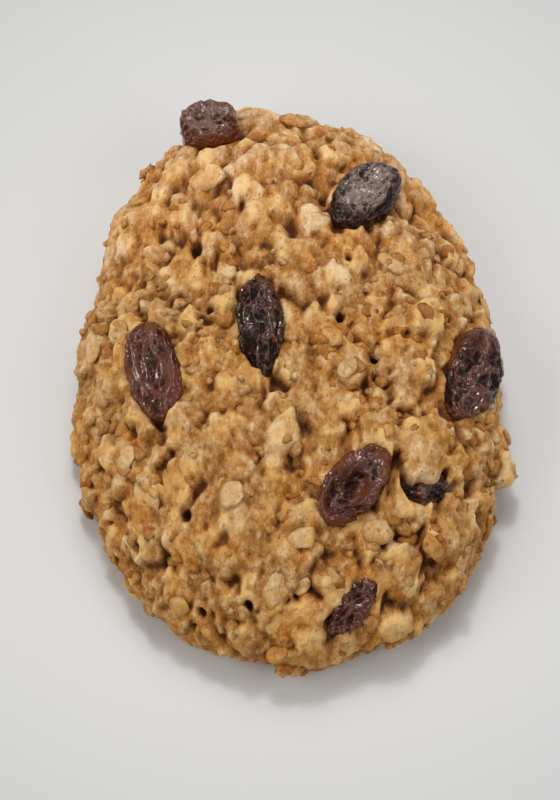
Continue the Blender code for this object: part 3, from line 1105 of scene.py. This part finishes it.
class Nodes:
    """A short way to add and link the nodes of one tree."""

    def __init__(self, tree):
        self.tree = tree

    def add(self, kind, inputs=None, **settings):
        node = self.tree.nodes.new("ShaderNode" + kind)
        for name, value in settings.items():
            setattr(node, name, value)
        for name, value in (inputs or {}).items():
            self.set(node.inputs[name], value)
        return node

    def add_end(self, which):
        return self.tree.nodes.new("NodeGroup" + which)

    def set(self, socket, value):
        if isinstance(value, bpy.types.NodeSocket):
            self.tree.links.new(value, socket)
        elif socket.type == "RGBA":
            socket.default_value = (*value, 1)
        else:
            socket.default_value = value

    def fill(self, node, **values):
        """Sets a node's inputs by name, with _ for each space."""
        for name, value in values.items():
            self.set(node.inputs[name.replace("_", " ")], value)

    def math(self, operation, *values):
        inputs = dict(enumerate(values))
        return self.add("Math", inputs, operation=operation).outputs[0]

    def ramp(self, value, low, high, to_low=0.0, to_high=1.0):
        names = ("Value", "From Min", "From Max", "To Min", "To Max")
        inputs = dict(zip(names, (value, low, high, to_low, to_high)))
        return self.add("MapRange", inputs).outputs[0]

    def mix(self, factor, first, second, blend="MIX"):
        inputs = {0: factor, 6: first, 7: second}
        return self.add("Mix", inputs, data_type="RGBA", blend_type=blend).outputs[2]

    def weighted(self, start, weights, parts):
        """The start plus each part times its weight."""
        total = start
        for name, weight in weights.items():
            total = self.math("MULTIPLY_ADD", parts[name], weight, total)
        return total

    def fields(self, *names):
        """The values of the piece's own attributes, by name."""
        return {name: self.add("Attribute", attribute_name=name).outputs["Fac"] for name in names}

    def noise(self, vector, scale, detail=2.0, roughness=0.5):
        inputs = {"Vector": vector, "Scale": scale, "Detail": detail, "Roughness": roughness}
        return self.add("TexNoise", inputs).outputs["Fac"]

    def cells(self, vector, scale, channel=0):
        """Distances from the middles of random cells, and a random number for each cell."""
        cells = self.add("TexVoronoi", {"Vector": vector, "Scale": scale}).outputs
        return cells["Distance"], self.add("SeparateColor", {0: cells["Color"]}).outputs[channel]

    def bump(self, height, strength, distance):
        inputs = {"Height": height, "Strength": strength, "Distance": distance}
        return self.add("Bump", inputs).outputs["Normal"]

    def group(self, tree, place):
        return self.add("Group", {"Vector": place}, node_tree=tree).outputs


def new_group(name, numbers, outputs):
    """An empty shader group: a vector and named numbers go in, and numbers come out."""
    tree = bpy.data.node_groups.new(name, "ShaderNodeTree")
    tree.interface.new_socket("Vector", in_out="INPUT", socket_type="NodeSocketVector")
    for label, default in numbers.items():
        socket = tree.interface.new_socket(label, in_out="INPUT", socket_type="NodeSocketFloat")
        socket.default_value = default
    for label in outputs:
        tree.interface.new_socket(label, in_out="OUTPUT", socket_type="NodeSocketFloat")
    nodes = Nodes(tree)
    return nodes, nodes.add_end("Input").outputs, nodes.add_end("Output")


def grain_group():
    """Crumbly dough: patches, grains that are a little longer than wide with a tone each, and pores."""
    numbers = {"Patch Scale": 800.0, "Grain Scale": 1700.0, "Pore Scale": 900.0, "Pore Amount": 0.25}
    nodes, given, end = new_group("dough_grain", numbers, ("Patches", "Grains", "Pores", "Height"))
    squeezed = {0: given["Vector"], 1: tuple(1 / GRAIN_STRETCH)}
    longer = nodes.add("VectorMath", squeezed, operation="MULTIPLY").outputs[0]
    sway = nodes.add("TexNoise", {"Vector": longer, "Scale": given["Grain Scale"], "Detail": 2.0})
    swayed = {0: sway.outputs["Color"], 1: (GRAIN_SWAY,) * 3, 2: longer}
    place = nodes.add("VectorMath", swayed, operation="MULTIPLY_ADD").outputs[0]
    parts = {"patches": nodes.noise(place, given["Patch Scale"], 4.0, 0.65)}
    for fine, times in (("", 1.0), ("fine ", 2.1)):
        scale = nodes.math("MULTIPLY", given["Grain Scale"], times)
        distance, parts[fine + "tone"] = nodes.cells(place, scale)
        parts[fine + "dome"] = nodes.ramp(distance, 0.0, DOME_REACH, 1.0, 0.0)
    distance, chance = nodes.cells(place, given["Pore Scale"])
    chosen = nodes.math("LESS_THAN", chance, given["Pore Amount"])
    parts["pores"] = nodes.math("MULTIPLY", nodes.ramp(distance, *PORE_EDGE), chosen)
    nodes.fill(end, Patches=parts["patches"], Pores=parts["pores"])
    nodes.fill(end, Grains=nodes.weighted(*GRAINS, parts))
    nodes.fill(end, Height=nodes.weighted(*GRAIN_HEIGHT, parts))
    return nodes.tree


def bran_group():
    """Scattered specks of bran: small dots in a share of the cells of a random pattern."""
    numbers = {"Scale": 1100.0, "Amount": 0.3, "Size": 0.22}
    nodes, given, end = new_group("bran_specks", numbers, ("Mask",))
    distance, chance = nodes.cells(given["Vector"], given["Scale"], 1)
    chosen = nodes.math("LESS_THAN", chance, given["Amount"])
    inner = nodes.math("MULTIPLY", given["Size"], 0.5)
    dots = nodes.ramp(distance, given["Size"], inner)
    nodes.fill(end, Mask=nodes.math("MULTIPLY", chosen, dots))
    return nodes.tree


def crinkle_group():
    """Fine crinkles of a dried skin: thin crests where noise passes through its mean, on two scales."""
    numbers = {"Scale": 900.0, "Width": 0.09}
    nodes, given, end = new_group("skin_crinkles", numbers, ("Crests", "Height"))
    parts = {"fine": nodes.noise(given["Vector"], FINE_SCALE, 2.0, 0.6)}
    for name, times in (("wide", 1.0), ("close", 2.3)):
        noise = nodes.noise(given["Vector"], nodes.math("MULTIPLY", given["Scale"], times), 1.0)
        off = nodes.math("ABSOLUTE", nodes.math("SUBTRACT", noise, 0.5))
        parts[name] = nodes.ramp(off, 0.0, given["Width"], 1.0, 0.0)
    nodes.fill(end, Crests=nodes.weighted(*CRESTS, parts))
    nodes.fill(end, Height=nodes.weighted(*CRINKLE_HEIGHT, parts))
    return nodes.tree


def new_material(name):
    """A material, its nodes, its shader and a point's place on its object."""
    material = bpy.data.materials.new(name)
    material.use_nodes = True
    nodes = Nodes(material.node_tree)
    shader = material.node_tree.nodes["Principled BSDF"]
    place = nodes.add("TexCoord").outputs["Object"]
    return material, nodes, shader, place


def dough_material(name, settings, groups):
    """Baked dough: cream and pale crumbly tops, tan slopes, brown hollows and dark creases.

    The tops are partly painted light, and the hollows, creases and pores painted shade. Toasted
    patches tint it golden and the others slightly grey, greyer in hollows as painted shade, browning
    and painted shade deepen it towards the walls and the broad end, and bran speckles it. A little
    light passes under its skin.
    """
    material, nodes, shader, place = new_material(name)
    grain = nodes.group(groups["grain"], place)
    specks = nodes.group(groups["bran"], place)
    parts = nodes.fields("tint", "cavity", "crease", "oat", "bake")
    calm = nodes.math("SUBTRACT", 1.0, nodes.math("MULTIPLY", parts["oat"], OAT_CALM))
    parts["patches"] = nodes.math("MULTIPLY", grain["Patches"], calm)
    parts["grains"] = nodes.math("MULTIPLY", grain["Grains"], calm)
    parts["close"] = nodes.noise(place, CLOSE_SCALE, 3.0)
    parts["broad"] = nodes.noise(place, BROAD_SCALE, 2.0)
    light = nodes.weighted(*LIGHT, parts)
    base = settings.brown
    for shade, low, high in SHADES:
        base = nodes.mix(nodes.ramp(light, low, high), base, getattr(settings, shade))
    toast = nodes.weighted(*TOAST, parts)
    golden, grey = nodes.ramp(toast, *GOLDEN), nodes.ramp(toast, *GREY)
    for amount, tint in (
        (golden, settings.toasted), (grey, settings.dull), (parts["bake"], settings.browning_and_shade),
    ):
        base = nodes.mix(amount, base, nodes.mix(1.0, base, tint, "MULTIPLY"))
    dark = nodes.ramp(nodes.weighted(*DARK, parts), *DARKENING)
    bran = nodes.math("MULTIPLY", specks["Mask"], SPECK_SHARE)
    pores = nodes.math("MULTIPLY", grain["Pores"], PORE_SHARE)
    for amount, shade in (
        (dark, settings.crevice_shade), (bran, settings.speck), (pores, settings.crevice_shade),
    ):
        base = nodes.mix(amount, base, shade)
    nodes.fill(
        shader,
        Base_Color=base,
        Roughness=nodes.ramp(grain["Patches"], *DOUGH_ROUGHNESS),
        Normal=nodes.bump(grain["Height"], 0.8, 0.28 * MM),
        Specular_IOR_Level=0.25,
        Subsurface_Weight=0.2,
        Subsurface_Radius=(1.0, 0.6, 0.35),
        Subsurface_Scale=1.0 * MM,
    )
    return material


def raisin_material(settings, groups):
    """Raisin skin: black in its folds, red brown on its crests, with a bloom where it is dusty.

    The black of the folds is partly painted shade, and the bloom is also a painted sheen on ridges
    and on what faces up. The crests are shinier than the folds, under a clear coat.
    """
    material, nodes, shader, place = new_material("raisin_skin")
    crinkles = nodes.group(groups["crinkles"], place)
    parts = nodes.fields("ridge", "red", "bloom")
    parts["crests"] = crinkles["Crests"]
    parts["broad"] = nodes.noise(place, SKIN_SCALE, 3.0, 0.6)
    redness = nodes.ramp(nodes.weighted(*REDNESS, parts), 0.0, 1.0)
    base = nodes.mix(redness, settings.dark, settings.red)
    dust_and_sheen = nodes.ramp(nodes.weighted(*DUST_AND_SHEEN, parts), *DUST_AND_SHEEN_LEVELS)
    base = nodes.mix(nodes.math("MULTIPLY", dust_and_sheen, parts["bloom"]), base, settings.bloom)
    nodes.fill(
        shader,
        Base_Color=base,
        Roughness=nodes.weighted(settings.gloss + FOLD_ROUGHNESS, SKIN_ROUGHNESS, parts),
        Normal=nodes.bump(crinkles["Height"], 0.6, 0.2 * MM),
        Coat_Weight=nodes.ramp(nodes.weighted(*COAT, parts), *COAT_LEVELS),
        Coat_Roughness=0.07,
        Specular_IOR_Level=0.15,
        Specular_Tint=(1.0, 0.80, 0.70),
    )
    return material


def floor_material(settings):
    """A plain matt floor with a painted pool of light round its middle that dims outwards."""
    material, nodes, shader, place = new_material("floor")
    distance = nodes.add("VectorMath", {0: place}, operation="LENGTH").outputs["Value"]
    outer = [part * FLOOR_DIM for part in settings.floor]
    base = nodes.mix(nodes.ramp(distance, *FLOOR_FADE), settings.floor, outer)
    nodes.fill(shader, Base_Color=base, Roughness=0.9, Specular_IOR_Level=0.1)
    return material


# ---- operators

made = {}


def shared_groups():
    if "groups" not in made:
        made["groups"] = {"grain": grain_group(), "bran": bran_group(), "crinkles": crinkle_group()}
    return made["groups"]


def raisin_boxes():
    return [measure_raisin(name) for name in RAISIN_LOOKS]


class COOKIE_OT_dough(bpy.types.Operator):
    """Builds the dough: its lumpy crust with a hollow for each raisin, and its flat underside"""

    bl_idname = "cookie.make_dough"
    bl_label = "Dough"

    def execute(self, context):
        settings = context.scene.cookie_dough
        crust = crust_heights(settings, raisin_boxes())
        made["crust"] = crust
        top, base = crust.surface(), underside()
        top[..., 2] = np.maximum(top[..., 2], 0)
        points = np.concatenate([top.reshape(-1, 3), base.reshape(-1, 3)])
        first = top.shape[0] * top.shape[1]
        faces = [
            grid_faces(*crust.reach.shape),
            join_rims(first),
            grid_faces(*base.shape[:2], first)[:, ::-1],
        ]
        plain = np.zeros(base.shape[0] * base.shape[1])
        fields = {
            name: np.concatenate([getattr(crust, name).ravel(), plain + level])
            for name, level in UNDERSIDE_FIELDS.items()
        }
        fields["bake"] = browned_and_shaded(points)
        material = dough_material("baked_dough", settings, shared_groups())
        add_piece("cookie_dough", points, faces, material, DOUGH_SLOT, ("dough",), **fields)
        return {"FINISHED"}


class COOKIE_OT_oats(bpy.types.Operator):
    """Sets nuggets of dough, bare oat flakes and crumbs into the crust, one joined mesh of each"""

    bl_idname = "cookie.make_oats"
    bl_label = "Nuggets, flakes and crumbs"

    def execute(self, context):
        if "crust" not in made:
            raise RuntimeError("Make the dough first: the oats lie on its crust")
        oats, dough = context.scene.cookie_oats, context.scene.cookie_dough
        material = dough_material("nugget_dough", dough, shared_groups())
        kinds = (
            ("dough_nuggets", oats.nuggets, 0.0, ()),
            ("oat_flakes", oats.flakes, OAT_SHARE, FLAKES),
            ("crumbs", oats.crumbs, 0.0, ()),
        )
        for number, (name, count, oat, fixed) in enumerate(kinds):
            seed = oats.seed + number
            points, faces, fields = scatter(LOOSE[name], count, seed, made["crust"], fixed)
            fields["crease"] = np.zeros(points.shape[0] * points.shape[1])
            fields["oat"] = fields["crease"] + oat
            add_piece(name, points, faces, material, DOUGH_SLOT, **fields)
        return {"FINISHED"}


class COOKIE_OT_raisins(bpy.types.Operator):
    """Builds each raisin in its solid's place: a wrinkled, folded skin with a look of its own"""

    bl_idname = "cookie.make_raisins"
    bl_label = "Raisins"

    def execute(self, context):
        material = raisin_material(context.scene.cookie_raisins, shared_groups())
        faces = raisin_faces()
        for number, box in enumerate(raisin_boxes()):
            look = RAISIN_LOOKS[box.name]
            points, fields = raisin_points(box, look, 3.7 * number + 1.3)
            add_piece("skin_" + box.name, points, faces, material, RAISIN_SLOT, (box.name,), **fields)
        return {"FINISHED"}


def add_area_light(name, place, size, power, tint):
    """A round area light that faces the origin."""
    light = bpy.data.lights.new(name, "AREA")
    light.shape = "DISK"
    light.size = size
    light.energy = power
    light.color = tint
    lamp = add_object(name, light)
    lamp.location = place
    lamp.rotation_euler = (-Vector(place)).to_track_quat("-Z", "Y").to_euler()


class COOKIE_OT_stage(bpy.types.Operator):
    """Sets the floor, the soft light and the camera"""

    bl_idname = "cookie.make_stage"
    bl_label = "Stage"

    def execute(self, context):
        settings = context.scene.cookie_stage
        self.add_floor(settings)
        self.add_lights(context, settings)
        self.add_camera(context, settings)
        context.scene.view_settings.view_transform = "Standard"
        return {"FINISHED"}

    def add_floor(self, settings):
        corners = FLOOR_HALF * np.array([[-1, -1, 0], [1, -1, 0], [1, 1, 0], [-1, 1, 0]])
        mesh = bpy.data.meshes.new("floor")
        mesh.from_pydata(corners, [], [(0, 1, 2, 3)])
        mesh.materials.append(floor_material(settings))
        floor = add_object("floor", mesh)

    def add_lights(self, context, settings):
        world = bpy.data.worlds.new("room")
        world.use_nodes = True
        sky = world.node_tree.nodes["Background"].inputs
        sky["Color"].default_value = (1.0, 1.0, 1.0, 1)
        sky["Strength"].default_value = settings.fill
        context.scene.world = world
        for name, (place, size, tint) in LIGHTS.items():
            add_area_light(name, place, size, getattr(settings, name), tint)

    def add_camera(self, context, settings):
        camera = bpy.data.cameras.new("camera")
        camera.lens = settings.lens
        camera.clip_start = 0.01
        eye = add_object("camera", camera)
        back = Vector((0, -math.cos(settings.elevation), math.sin(settings.elevation)))
        turn = (-back).to_track_quat("-Z", "Y")
        aside = turn @ Vector(ASIDE)
        eye.location = Vector(AIM) + back * settings.distance + aside
        eye.rotation_euler = turn.to_euler()
        context.scene.camera = eye


class COOKIE_PT_panel(bpy.types.Panel):
    bl_idname = "COOKIE_PT_panel"
    bl_label = "Oatmeal raisin cookie"
    bl_space_type = "VIEW_3D"
    bl_region_type = "UI"
    bl_category = "Cookie"

    def draw(self, context):
        for title, name, kind, operator in PARTS:
            box = self.layout.box()
            box.label(text=title)
            for field in kind.__annotations__:
                box.prop(getattr(context.scene, name), field)
            box.operator(operator.bl_idname)


PARTS = (
    ("Dough", "cookie_dough", DoughSettings, COOKIE_OT_dough),
    ("Oats", "cookie_oats", OatSettings, COOKIE_OT_oats),
    ("Raisins", "cookie_raisins", RaisinSettings, COOKIE_OT_raisins),
    ("Stage", "cookie_stage", StageSettings, COOKIE_OT_stage),
)


def register():
    for _, name, kind, operator in PARTS:
        bpy.utils.register_class(kind)
        bpy.utils.register_class(operator)
        setattr(bpy.types.Scene, name, PointerProperty(type=kind))
    bpy.utils.register_class(COOKIE_PT_panel)


def unregister():
    bpy.utils.unregister_class(COOKIE_PT_panel)
    for _, name, kind, operator in PARTS:
        delattr(bpy.types.Scene, name)
        bpy.utils.unregister_class(operator)
        bpy.utils.unregister_class(kind)


def main():
    register()
    bpy.ops.cookie.make_dough()
    bpy.ops.cookie.make_oats()
    bpy.ops.cookie.make_raisins()
    bpy.ops.cookie.make_stage()


if __name__ == "__main__":
    main()
